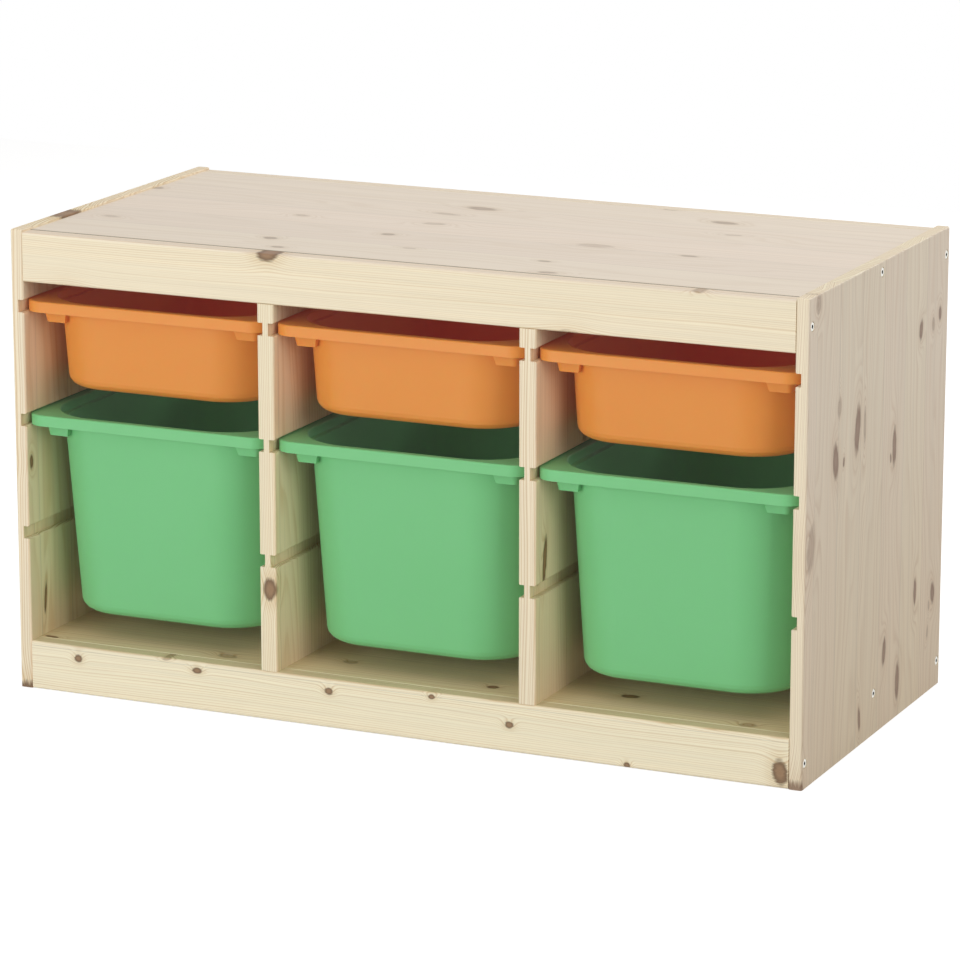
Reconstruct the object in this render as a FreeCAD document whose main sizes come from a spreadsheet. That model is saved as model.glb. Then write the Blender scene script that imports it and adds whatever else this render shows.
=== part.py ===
"""Toy storage frame of pine with six moulded bins hanging in grooves.

Frame of reference: +Z up, +X to the right as seen from the front, the front faces -Y.
The origin is on the floor, in the middle of the frame's footprint. All sizes in millimetres.

The frame is two side panels, two dividers, a top and a bottom panel and four rails. Screws go
through the side panels, dowels keep each joint from turning. Every wall of a column carries three
grooves, and each bin hangs in a pair of them by the down-turned lip of its rim.
"""

import FreeCAD, Part
import math
import os
import re
import Sketcher

Vector = FreeCAD.Vector
Rotation = FreeCAD.Rotation

OUT = "parts"
COLUMNS = {"left": -1, "middle": 0, "right": 1}
GROOVES_PER_WALL = 3
ROUNDING_STEPS = 4  # conical steps that make the rounding at the bottom of a bin

doc = FreeCAD.newDocument("ToyStorage")

# ---------------------------------------------------------------------------
# Driving sizes
# ---------------------------------------------------------------------------
SIZES = {
    # frame, overall
    "frame_width": 930,
    "frame_depth": 440,
    "frame_height": 520,
    # boards
    "side_thickness": 15,
    "divider_thickness": 20,
    "panel_thickness": 18,
    "rail_thickness": 18,
    "rail_height": 55,
    "top_setback": 2.5,  # the side panels stand this much above the top panel
    "edge_radius": 2.5,  # rounded front and back edges of the boards
    "arris": 0.8,  # width of the broken edges elsewhere
    # grooves, in side panels and dividers alike
    "groove_height": 14,
    "groove_depth": 6.8,
    "groove_pitch": 128,
    "lowest_groove": 172,  # height of the lowest groove's floor above the ground
    "groove_lip_radius": 2,
    # side screws with a cylindrical head and a hexagon socket
    "screw_shank_diameter": 6.4,
    "screw_length": 50,
    "screw_head_diameter": 10.5,
    "screw_head_height": 4,
    "screw_head_sink": 0.4,  # the head lies this much under the board's face
    "socket_width": 4,  # across the flats
    "socket_depth": 2.6,
    "screw_clearance": 0.3,  # round the shank and the head in the outer board
    "fit_clearance": 0.08,  # round a shank or a dowel in the bore that grips it
    # dowels
    "dowel_diameter": 8,
    "dowel_length": 30,
    "dowel_in_board": 10,  # how far a dowel goes into the side panel or the top panel
    "dowel_end_gap": 0.5,  # free space past each end of a dowel
    "rail_dowel_offset": 17,  # from the screw, along the rail's height
    "panel_dowel_offset": 120,  # from the panel's middle screw, along its depth
    "divider_fixing_offset": 140,  # dowels and screws in the dividers, from their middle
    # bins: rim
    "bin_depth": 420,
    "bin_setback": 6,  # the rim starts this far behind the frame's front edge
    "small_bin_height": 100,
    "medium_bin_height": 230,
    "rim_side_play": 0.7,  # between the rim and the bottom of each groove
    "rim_rest_gap": 0.3,  # under the rim's lip at rest
    "rim_top_play": 1.5,  # over the rim in its groove
    "rim_thickness": 2.5,
    "rim_corner_radius": 22,
    "rim_arris": 0.9,
    # bins: opening, recess and body
    "wall": 2.2,
    "floor_thickness": 2.6,
    "opening_side_margin": 13.4,  # from the rim's edge to the opening
    "opening_end_margin": 9,
    "opening_radius": 66,
    "recess_depth": 10,
    "ledge_width": 7,
    "side_draft": 2.2,  # degrees
    "end_draft": 4.4,  # degrees
    "bottom_radius": 11,
    # bins: guide lugs under the rim's corners
    "lug_side_margin": 14,  # from the rim's edge to the lug
    "lug_end_margin": 13,
    "lug_length": 35,
    "lug_drop": 13.5,  # below the lip
    "lug_corner_radius": 10.5,
    "lug_draft": 14,  # degrees
}

sheet = doc.addObject("Spreadsheet::Sheet", "Sizes")
for row, (alias, value) in enumerate(SIZES.items(), start=1):
    sheet.set(f"A{row}", alias)
    sheet.set(f"B{row}", str(value))
    sheet.setAlias(f"B{row}", alias)
doc.recompute()


def S(text):
    """An expression over the sheet: every word that is a size gets the sheet's name in front."""
    def with_sheet(word):
        return f"Sizes.{word[0]}" if word[0] in SIZES else word[0]

    return re.sub(r"[a-z_]+", with_sheet, text)


def value(text):
    """The number that an expression over the sheet stands for now."""
    return float(sheet.evalExpression(S(text)))


# ---------------------------------------------------------------------------
# Derived places, written once as expressions
# ---------------------------------------------------------------------------
CLEAR_WIDTH = "(frame_width - 2 * side_thickness)"
COLUMN_CLEAR = f"(({CLEAR_WIDTH} - 2 * divider_thickness ) / 3)"
COLUMN_STEP = f"({COLUMN_CLEAR} + divider_thickness)"
DIVIDER_X = f"({COLUMN_STEP} / 2)"
TOP_SURFACE = "(frame_height - top_setback)"
TOP_UNDERSIDE = f"({TOP_SURFACE} - panel_thickness)"
TOP_RAIL_BOTTOM = f"({TOP_SURFACE} - rail_height)"
BOTTOM_SURFACE = "(rail_height)"
BOTTOM_UNDERSIDE = f"({BOTTOM_SURFACE} - panel_thickness)"
RAIL_INNER_Y = "(frame_depth / 2 - rail_thickness)"
RAIL_MID_Y = "(frame_depth / 2 - rail_thickness / 2)"
TOP_RAIL_MID = f"({TOP_SURFACE} - rail_height / 2)"
BOTTOM_RAIL_MID = "(rail_height / 2)"
TOP_PANEL_MID = f"({TOP_SURFACE} - panel_thickness / 2)"
BOTTOM_PANEL_MID = f"({BOTTOM_SURFACE} - panel_thickness / 2)"

SHANK_BORE = "(screw_shank_diameter / 2 + fit_clearance)"
SHANK_HOLE = "(screw_shank_diameter / 2 + screw_clearance)"
HEAD_HOLE = "(screw_head_diameter / 2 + screw_clearance)"
DOWEL_BORE = "(dowel_diameter / 2 + fit_clearance)"
DOWEL_BOARD_DEPTH = "(dowel_in_board + dowel_end_gap)"
DOWEL_END_DEPTH = "(dowel_length - dowel_in_board + dowel_end_gap)"
SCREW_END_DEPTH = "(screw_length + screw_head_sink - side_thickness + dowel_end_gap)"
SCREW_IN_DIVIDER = "(screw_length + screw_head_sink - panel_thickness + dowel_end_gap)"
SCREW_SEAT_DEPTH = "(screw_head_height + screw_head_sink)"

LEFT, RIGHT = "-1 *", "1 *"
FRONT, BACK = "-1 *", "1 *"
RAIL_MIDDLES = (BOTTOM_RAIL_MID, TOP_RAIL_MID)
PANEL_MIDDLES = (BOTTOM_PANEL_MID, TOP_PANEL_MID)

# where the side screws and the side dowels are, as (y, z)
RAIL_SCREWS = [(f"{end} {RAIL_MID_Y}", z) for end in (FRONT, BACK) for z in RAIL_MIDDLES]
SIDE_SCREWS = RAIL_SCREWS + [("0", z) for z in PANEL_MIDDLES]
RAIL_DOWELS = [(y, f"{z} - rail_dowel_offset") for y, z in RAIL_SCREWS]
PANEL_DOWELS = [(f"{end} panel_dowel_offset", z) for end in (FRONT, BACK) for z in PANEL_MIDDLES]
SIDE_DOWELS = RAIL_DOWELS + PANEL_DOWELS
# the dowels and the screws in a divider's ends, as (x, y) from its middle
DIVIDER_FIXINGS = [("0", f"{place} * divider_fixing_offset") for place in (-1, 0, 1)]


# ---------------------------------------------------------------------------
# Helpers for bodies, sketches and features
# ---------------------------------------------------------------------------
def new_body(label):
    body = doc.addObject("PartDesign::Body", label)
    body.Label = label
    return body


def origin_plane(body, role):
    return next(item for item in body.Origin.OriginFeatures if item.Role == role)


def new_sketch(body, name, role, height="0"):
    """A sketch on one of the body's own planes, moved along that plane's normal by height."""
    sketch = body.newObject("Sketcher::SketchObject", name)
    sketch.AttachmentSupport = [(origin_plane(body, role), "")]
    sketch.MapMode = "FlatFace"
    sketch.setExpression("AttachmentOffset.Base.z", S(height))
    return sketch


def bind(feature, **expressions):
    for name, text in expressions.items():
        feature.setExpression(name, S(text))


def constrain(sketch, kind, *args, size=None):
    """Add a constraint. A size is an expression, and its present value goes with it."""
    if size is None:
        sketch.addConstraint(Sketcher.Constraint(kind, *args))
        return
    index = sketch.addConstraint(Sketcher.Constraint(kind, *args, value(size)))
    sketch.setExpression(f"Constraints[{index}]", S(size))


def pin(sketch, geometry, point, across, up):
    """Hold a point at its place from the sketch's origin."""
    constrain(sketch, "DistanceX", -1, 1, geometry, point, size=across)
    constrain(sketch, "DistanceY", -1, 1, geometry, point, size=up)


def profile(sketch, corners, arcs=()):
    """A closed outline through pinned corners. arcs maps a side's index to its radius; such a side
    is a quarter circle that turns clockwise from its first corner to its second."""
    arcs = dict(arcs)
    places = [Vector(value(across), value(up), 0) for across, up in corners]
    for index, start in enumerate(places):
        end = places[(index + 1) % len(places)]
        if index not in arcs:
            sketch.addGeometry(Part.LineSegment(start, end))
            continue
        chord = end - start
        middle = start + chord * 0.5
        centre = middle + Vector(chord.y, -chord.x, 0) * 0.5
        bulge = middle - centre
        bulge.Length = value(arcs[index])
        sketch.addGeometry(Part.Arc(start, centre + bulge, end))
    for index in range(len(places)):
        following = (index + 1) % len(places)
        # an arc is kept counter-clockwise, so a clockwise side runs from its end to its start
        leaving = 1 if index in arcs else 2
        arriving = 2 if following in arcs else 1
        constrain(sketch, "Coincident", index, leaving, following, arriving)
    for index, (across, up) in enumerate(corners):
        if index in arcs:
            pin(sketch, index, 2, across, up)
            constrain(sketch, "Radius", index, size=arcs[index])
        else:
            pin(sketch, index, 1, across, up)


def rectangle(sketch, low, high):
    (left, bottom), (right, top) = low, high
    profile(sketch, [(left, bottom), (right, bottom), (right, top), (left, top)])


def rounded_rectangle(sketch, half_width, half_depth, radius):
    """A rounded rectangle centred on the sketch's origin."""
    first = sketch.GeometryCount
    wide, deep, round_ = value(half_width), value(half_depth), value(radius)
    signs = [(1, 1), (-1, 1), (-1, -1), (1, -1)]
    for turn, (across, up) in enumerate(signs):
        centre = Vector(across * (wide - round_), up * (deep - round_), 0)
        circle = Part.Circle(centre, Vector(0, 0, 1), round_)
        sketch.addGeometry(Part.ArcOfCircle(circle, turn * math.pi / 2, (turn + 1) * math.pi / 2))
        following = signs[(turn + 1) % 4]
        if turn % 2 == 0:
            start = Vector(centre.x, up * deep, 0)
            end = Vector(following[0] * (wide - round_), up * deep, 0)
        else:
            start = Vector(across * wide, centre.y, 0)
            end = Vector(across * wide, following[1] * (deep - round_), 0)
        sketch.addGeometry(Part.LineSegment(start, end))
    for turn in range(4):
        arc, line = first + 2 * turn, first + 2 * turn + 1
        following = first + 2 * ((turn + 1) % 4)
        constrain(sketch, "Tangent", arc, 2, line, 1)
        constrain(sketch, "Tangent", line, 2, following, 1)
        if turn:
            constrain(sketch, "Equal", first, arc)
    top, left, bottom = first + 1, first + 3, first + 5
    constrain(sketch, "Symmetric", top, 1, top, 2, -2)
    constrain(sketch, "Symmetric", left, 1, left, 2, -1)
    constrain(sketch, "DistanceY", -1, 1, top, 1, size=half_depth)
    constrain(sketch, "DistanceX", left, 1, -1, 1, size=half_width)
    constrain(sketch, "Symmetric", top, 1, bottom, 2, -1)
    constrain(sketch, "Radius", first, size=radius)


def circles(sketch, places, radius):
    """Circles of one radius, each centre pinned at its place."""
    for across, up in places:
        centre = Vector(value(across), value(up), 0)
        index = sketch.addGeometry(Part.Circle(centre, Vector(0, 0, 1), value(radius)))
        pin(sketch, index, 3, across, up)
        constrain(sketch, "Radius", index, size=radius)


def pad(body, name, sketch, length, midplane=False, down=False):
    feature = body.newObject("PartDesign::Pad", name)
    feature.Profile = sketch
    feature.Midplane = midplane
    feature.Reversed = down
    bind(feature, Length=length)
    doc.recompute()
    return feature


def pocket(body, name, sketch, depth, towards_normal=False, midplane=False):
    """Cut a pocket and make sure that it took material away."""
    before = body.Tip.Shape.Volume
    feature = body.newObject("PartDesign::Pocket", name)
    feature.Profile = sketch
    feature.Midplane = midplane
    feature.Reversed = towards_normal
    bind(feature, Length=depth)
    doc.recompute()
    if not feature.Shape.Volume < before:
        raise RuntimeError(f"{body.Label}: {name} cuts nothing")
    return feature


def mirrored(body, name, features, role):
    feature = body.newObject("PartDesign::Mirrored", name)
    feature.Originals = features
    feature.MirrorPlane = (origin_plane(body, role), [""])
    body.Tip = feature
    doc.recompute()
    return feature


def mirrored_twice(body, name, features):
    """Repeat features in all four corners of a piece that is symmetric in x and in y."""
    feature = body.newObject("PartDesign::MultiTransform", name)
    feature.Originals = features
    steps = []
    for role in ("YZ_Plane", "XZ_Plane"):
        step = body.newObject("PartDesign::Mirrored", f"{name}_{role}")
        step.MirrorPlane = (origin_plane(body, role), [""])
        steps.append(step)
    feature.Transformations = steps
    body.Tip = feature
    doc.recompute()
    return feature


def stacked(body, name, features, count, pitch):
    """Repeat features upwards."""
    feature = body.newObject("PartDesign::LinearPattern", name)
    feature.Originals = features
    feature.Direction = (origin_plane(body, "Z_Axis"), [""])
    feature.Mode = "Spacing"
    feature.Occurrences = count
    bind(feature, Offset=pitch)
    body.Tip = feature
    doc.recompute()
    return feature


def finish_edges(body, kind, name, size, wanted):
    """Finish those edges of the body for which wanted(edge) is true. kind is Fillet or Chamfer."""
    base = body.Tip
    edges = [f"Edge{index}" for index, edge in enumerate(base.Shape.Edges, start=1) if wanted(edge)]
    if not edges:
        raise RuntimeError(f"{body.Label}: {name} finds no edge")
    feature = body.newObject(f"PartDesign::{kind}", name)
    feature.Base = (base, edges)
    bind(feature, **{"Radius" if kind == "Fillet" else "Size": size})
    doc.recompute()
    return feature


def fillet(body, name, radius, wanted):
    return finish_edges(body, "Fillet", name, radius, wanted)


def chamfer(body, name, width, wanted):
    return finish_edges(body, "Chamfer", name, width, wanted)


def spans(edge, axis, length):
    """True for a straight edge that runs along an axis for at least a length."""
    box = edge.BoundBox
    size = {"x": box.XLength, "y": box.YLength, "z": box.ZLength}
    others = [size[other] for other in "xyz" if other != axis]
    return size[axis] >= length and max(others) < 1e-4


def near(one, other):
    return abs(one - other) < 1e-4


# ---------------------------------------------------------------------------
# Frame boards
# ---------------------------------------------------------------------------
def groove_stack(body, face_x, inwards):
    """Cut the grooves of one face. inwards is the sign of the way from the face into the board."""
    floor = "lowest_groove"
    ceiling = "(lowest_groove + groove_height)"
    lip = f"({face_x} + {inwards} * groove_lip_radius)"
    back = f"({face_x} + {inwards} * groove_depth)"
    side = "right" if inwards < 0 else "left"
    sketch = new_sketch(body, f"groove_profile_{side}", "XZ_Plane")
    mouth = [(face_x, f"{floor} - groove_lip_radius"), (face_x, f"{ceiling} + groove_lip_radius")]
    if inwards < 0:
        corners = [(lip, floor), *mouth, (lip, ceiling), (back, ceiling), (back, floor)]
        lips = (0, 2)
    else:
        corners = [mouth[0], (lip, floor), (back, floor), (back, ceiling), (lip, ceiling), mouth[1]]
        lips = (0, 4)
    profile(sketch, corners, {index: "groove_lip_radius" for index in lips})
    groove = pocket(body, f"groove_{side}", sketch, "2 * frame_depth", midplane=True)
    return stacked(body, f"grooves_{side}", [groove], GROOVES_PER_WALL, "groove_pitch")


def side_panel(label):
    """A side panel in its own frame: outer face at x = 0, inner face at x = side_thickness."""
    body = new_body(label)
    outline = new_sketch(body, "outline", "XZ_Plane")
    rectangle(outline, ("0", "0"), ("side_thickness", "frame_height"))
    pad(body, "board", outline, "frame_depth", midplane=True)
    top = value("frame_height")
    fillet(body, "upright_edges", "edge_radius", lambda edge: spans(edge, "z", top - 1))
    chamfer(body, "top_arris", "arris", lambda edge: near(edge.BoundBox.ZMin, top))
    groove_stack(body, "side_thickness", -1)

    heads = new_sketch(body, "head_places", "YZ_Plane")
    circles(heads, SIDE_SCREWS, HEAD_HOLE)
    pocket(body, "head_recesses", heads, SCREW_SEAT_DEPTH, towards_normal=True)
    shanks = new_sketch(body, "shank_places", "YZ_Plane")
    circles(shanks, SIDE_SCREWS, SHANK_HOLE)
    pocket(body, "shank_holes", shanks, "2 * side_thickness", towards_normal=True)
    dowels = new_sketch(body, "dowel_places", "YZ_Plane", "side_thickness")
    circles(dowels, SIDE_DOWELS, DOWEL_BORE)
    pocket(body, "dowel_sockets", dowels, DOWEL_BOARD_DEPTH)
    return body


def divider(label):
    """A divider in its own frame: x = 0 in the middle of its thickness, z as in the frame."""
    body = new_body(label)
    outline = new_sketch(body, "outline", "YZ_Plane")
    front, back = f"{FRONT} frame_depth / 2", f"{BACK} frame_depth / 2"
    rail_front, rail_back = f"{FRONT} {RAIL_INNER_Y}", f"{BACK} {RAIL_INNER_Y}"
    corners = [
        (front, BOTTOM_SURFACE),
        (back, BOTTOM_SURFACE),
        (back, TOP_RAIL_BOTTOM),
        (rail_back, TOP_RAIL_BOTTOM),
        (rail_back, TOP_UNDERSIDE),
        (rail_front, TOP_UNDERSIDE),
        (rail_front, TOP_RAIL_BOTTOM),
        (front, TOP_RAIL_BOTTOM),
    ]
    profile(outline, corners)
    pad(body, "board", outline, "divider_thickness", midplane=True)
    edge_y = value("frame_depth") / 2
    fillet(
        body,
        "upright_edges",
        "edge_radius",
        lambda edge: spans(edge, "z", 100) and near(abs(edge.BoundBox.YMin), edge_y),
    )
    groove_stack(body, "divider_thickness / 2", -1)
    groove_stack(body, "-1 * divider_thickness / 2", 1)

    sockets = new_sketch(body, "dowel_places", "XY_Plane", TOP_UNDERSIDE)
    circles(sockets, DIVIDER_FIXINGS, DOWEL_BORE)
    pocket(body, "dowel_sockets", sockets, DOWEL_END_DEPTH)
    bores = new_sketch(body, "screw_places", "XY_Plane", BOTTOM_SURFACE)
    circles(bores, DIVIDER_FIXINGS, SHANK_BORE)
    pocket(body, "screw_bores", bores, SCREW_IN_DIVIDER, towards_normal=True)
    return body


def end_bores(body, screws, dowels):
    """Bores in both ends of a rail or panel that lies between the side panels."""
    end = f"{CLEAR_WIDTH} / 2"
    screw_sketch = new_sketch(body, "screw_places", "YZ_Plane", end)
    circles(screw_sketch, screws, SHANK_BORE)
    screw_bores = pocket(body, "screw_bores", screw_sketch, SCREW_END_DEPTH)
    dowel_sketch = new_sketch(body, "dowel_places", "YZ_Plane", end)
    circles(dowel_sketch, dowels, DOWEL_BORE)
    dowel_bores = pocket(body, "dowel_bores", dowel_sketch, DOWEL_END_DEPTH)
    mirrored(body, "other_end", [screw_bores, dowel_bores], "YZ_Plane")


def rail(label):
    """A front rail in its own frame: z = 0 at its lower edge, y = 0 in its thickness's middle."""
    body = new_body(label)
    outline = new_sketch(body, "outline", "YZ_Plane")
    rectangle(outline, ("-1 * rail_thickness / 2", "0"), ("rail_thickness / 2", "rail_height"))
    pad(body, "board", outline, CLEAR_WIDTH, midplane=True)
    front = value("-1 * rail_thickness / 2")
    long_edge = value(CLEAR_WIDTH) - 1
    fillet(
        body,
        "front_edges",
        "edge_radius",
        lambda edge: spans(edge, "x", long_edge) and near(edge.BoundBox.YMin, front),
    )
    chamfer(
        body,
        "back_arrises",
        "arris",
        lambda edge: spans(edge, "x", long_edge) and near(edge.BoundBox.YMin, -front),
    )
    end_bores(body, [("0", "rail_height / 2")], [("0", "rail_height / 2 - rail_dowel_offset")])
    return body


def panel(label):
    """A top or bottom panel in its own frame: z = 0 at its lower face, y = 0 in its middle."""
    body = new_body(label)
    outline = new_sketch(body, "outline", "YZ_Plane")
    rectangle(outline, (f"-1 * {RAIL_INNER_Y}", "0"), (RAIL_INNER_Y, "panel_thickness"))
    pad(body, "board", outline, CLEAR_WIDTH, midplane=True)
    long_edge = value(CLEAR_WIDTH) - 1
    chamfer(body, "long_arrises", "arris", lambda edge: spans(edge, "x", long_edge))
    middle = "panel_thickness / 2"
    dowels = [(f"{end} panel_dowel_offset", middle) for end in (FRONT, BACK)]
    end_bores(body, [("0", middle)], dowels)
    return body


def divider_places():
    """Where the dividers' fixings are in a panel, as (x, y)."""
    return [(f"{side} {DIVIDER_X}", y) for side in (LEFT, RIGHT) for _, y in DIVIDER_FIXINGS]


side_left = side_panel("side_panel_left")
side_right = side_panel("side_panel_right")
bind(side_left, **{"Placement.Base.x": "-1 * frame_width / 2"})
side_right.Placement.Rotation = Rotation(Vector(0, 0, 1), 180)
bind(side_right, **{"Placement.Base.x": "frame_width / 2"})

for label, side in (("divider_left", LEFT), ("divider_right", RIGHT)):
    bind(divider(label), **{"Placement.Base.x": f"{side} {DIVIDER_X}"})

top = panel("top_panel")
bind(top, **{"Placement.Base.z": TOP_UNDERSIDE})
top_sockets = new_sketch(top, "divider_dowel_places", "XY_Plane")
circles(top_sockets, divider_places(), DOWEL_BORE)
pocket(top, "divider_dowel_sockets", top_sockets, DOWEL_BOARD_DEPTH, towards_normal=True)

bottom = panel("bottom_panel")
bind(bottom, **{"Placement.Base.z": BOTTOM_UNDERSIDE})
bottom_heads = new_sketch(bottom, "divider_head_places", "XY_Plane")
circles(bottom_heads, divider_places(), HEAD_HOLE)
pocket(bottom, "divider_head_recesses", bottom_heads, SCREW_SEAT_DEPTH, towards_normal=True)
bottom_shanks = new_sketch(bottom, "divider_shank_places", "XY_Plane")
circles(bottom_shanks, divider_places(), SHANK_HOLE)
pocket(bottom, "divider_shank_holes", bottom_shanks, "2 * panel_thickness", towards_normal=True)

RAILS = {
    "top_front_rail": (FRONT, TOP_RAIL_BOTTOM, 0),
    "bottom_front_rail": (FRONT, "0", 0),
    "top_rear_rail": (BACK, TOP_RAIL_BOTTOM, 180),
    "bottom_rear_rail": (BACK, "0", 180),
}
for label, (side, height, turn) in RAILS.items():
    piece = rail(label)
    piece.Placement.Rotation = Rotation(Vector(0, 0, 1), turn)
    bind(piece, **{"Placement.Base.y": f"{side} {RAIL_MID_Y}", "Placement.Base.z": height})


# ---------------------------------------------------------------------------
# Fasteners: equal pieces share one object
# ---------------------------------------------------------------------------
def screw_solid():
    """A screw along +X, its head's outer face at x = 0."""
    head, shank = value("screw_head_diameter / 2"), value("screw_shank_diameter / 2")
    seat, length, edge = value("screw_head_height"), value("screw_length"), value("arris")
    outline = [(0, 0), (0, head - edge), (edge, head), (seat, head), (seat, shank), (length, shank)]
    outline += [(length, 0), (0, 0)]
    face = Part.Face(Part.makePolygon([Vector(along, out, 0) for along, out in outline]))
    body = face.revolve(Vector(0, 0, 0), Vector(1, 0, 0), 360)
    corner = value("socket_width") / 3**0.5
    turns = [Rotation(Vector(1, 0, 0), 60 * step) for step in range(7)]
    hexagon = Part.Face(Part.makePolygon([turn.multVec(Vector(0, corner, 0)) for turn in turns]))
    return body.cut(hexagon.extrude(Vector(value("socket_depth"), 0, 0)))


def dowel_solid():
    """A dowel along +X, its outer end at x = 0."""
    radius, length = value("dowel_diameter / 2"), value("dowel_length")
    return Part.makeCylinder(radius, length, Vector(0, 0, 0), Vector(1, 0, 0))


def group(label, solid, placements):
    """Equal fasteners as one object."""
    copies = []
    for place in placements:
        copy = solid.copy()
        copy.Placement = place
        copies.append(copy)
    feature = doc.addObject("Part::Feature", label)
    feature.Label = label
    feature.Shape = Part.makeCompound(copies)
    return feature


def side_placements(places, outer_x, side):
    """Fasteners that point into the frame from one side; outer_x is where they start."""
    turn = Rotation(Vector(0, 0, 1), 0 if side < 0 else 180)
    return [FreeCAD.Placement(Vector(side * outer_x, value(y), value(z)), turn) for y, z in places]


screw_start = value("frame_width / 2 - screw_head_sink")
dowel_start = value(f"{CLEAR_WIDTH} / 2 + dowel_in_board")
screw, dowel = screw_solid(), dowel_solid()
for name, side in (("left", -1), ("right", 1)):
    group(f"side_screws_{name}", screw, side_placements(SIDE_SCREWS, screw_start, side))
    group(f"side_dowels_{name}", dowel, side_placements(SIDE_DOWELS, dowel_start, side))

upwards = Rotation(Vector(0, 1, 0), -90)
downwards = Rotation(Vector(0, 1, 0), 90)
fixing_spots = [(value(x), value(y)) for x, y in divider_places()]
screw_base = value(f"{BOTTOM_UNDERSIDE} + screw_head_sink")
dowel_top = value(f"{TOP_UNDERSIDE} + dowel_in_board")
screw_places = [FreeCAD.Placement(Vector(x, y, screw_base), upwards) for x, y in fixing_spots]
dowel_places = [FreeCAD.Placement(Vector(x, y, dowel_top), downwards) for x, y in fixing_spots]
group("divider_screws", screw, screw_places)
group("divider_dowels", dowel, dowel_places)

# ---------------------------------------------------------------------------
# Bins
# ---------------------------------------------------------------------------
# A bin's own frame: the origin is in the middle of its plan, at the lower edge of the rim's lip.
LIP_HEIGHT = "(groove_height - rim_top_play - rim_rest_gap)"
RIM_HALF_WIDTH = f"({COLUMN_CLEAR} / 2 + groove_depth - rim_side_play)"
RIM_HALF_DEPTH = "(bin_depth / 2)"
RIM_UNDERSIDE = f"({LIP_HEIGHT} - rim_thickness)"
OPENING_HALF_WIDTH = f"({RIM_HALF_WIDTH} - opening_side_margin)"
OPENING_HALF_DEPTH = f"({RIM_HALF_DEPTH} - opening_end_margin)"
LEDGE_HEIGHT = f"({LIP_HEIGHT} - recess_depth)"
COLLAR_UNDERSIDE = f"({LEDGE_HEIGHT} - wall)"
INNER_HALF_WIDTH = f"({OPENING_HALF_WIDTH} - ledge_width)"
INNER_HALF_DEPTH = f"({OPENING_HALF_DEPTH} - ledge_width)"
INNER_RADIUS = "(opening_radius - ledge_width)"
COLLAR_HALF_WIDTH = f"({OPENING_HALF_WIDTH} + wall)"
COLLAR_HALF_DEPTH = f"({OPENING_HALF_DEPTH} + wall)"
LUG_X = f"({RIM_HALF_WIDTH} - lug_side_margin)"
LUG_Y = f"({RIM_HALF_DEPTH} - lug_end_margin)"
LUG_HEIGHT = f"({RIM_UNDERSIDE} + lug_drop)"


def drafted(half, height, draft):
    """A half size, drawn in by the mould's draft over a height."""
    return f"({half} - ({height}) * tan({draft}))"


def lug_outline(sketch, inset):
    """A lug's plan in the corner +X -Y: square inside, one rounded corner outside."""
    right, front = f"{LUG_X} - {inset}", f"-1 * {LUG_Y} + {inset}"
    left, back = f"{LUG_X} - lug_length + {inset}", f"-1 * {LUG_Y} + lug_length - {inset}"
    radius = f"(lug_corner_radius - {inset})"
    arc_start, arc_end = (right, f"{front} + {radius}"), (f"{right} - {radius}", front)
    profile(sketch, [(left, front), (left, back), (right, back), arc_start, arc_end], {3: radius})


def tapered_block(body, kind, name, plan, top, bottom, rounding, seams=()):
    """A round-cornered block, drafted from top to bottom, whose lower edge is rounded.

    kind is AdditiveLoft or SubtractiveLoft, plan is its half width, half depth and corner radius
    at the top. The rounding is a run of conical steps: each is an inset from the drafted outline
    and a height over the bottom, both on a quarter circle. A seam is a height where the drafted
    walls are divided, so that what is cut above stays off the rest.
    """
    half_width, half_depth, radius = plan
    levels = [(top, "0")] + [(seam, "0") for seam in seams]
    for step in range(ROUNDING_STEPS + 1):
        angle = 90 * step / ROUNDING_STEPS
        height = f"({bottom} + {rounding} * (1 - sin({angle})))"
        levels.append((height, f"{rounding} * (1 - cos({angle}))"))
    sections = []
    for number, (height, inset) in enumerate(levels):
        section = new_sketch(body, f"{name}_section_{number}", "XY_Plane", height)
        drop = f"{top} - {height}"
        rounded_rectangle(
            section,
            f"{drafted(half_width, drop, 'side_draft')} - {inset}",
            f"{drafted(half_depth, drop, 'end_draft')} - {inset}",
            f"{radius} - {inset}",
        )
        sections.append(section)
    loft = body.newObject(f"PartDesign::{kind}", name)
    loft.Profile = sections[0]
    loft.Sections = sections[1:]
    loft.Ruled = True
    doc.recompute()
    return loft


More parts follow.
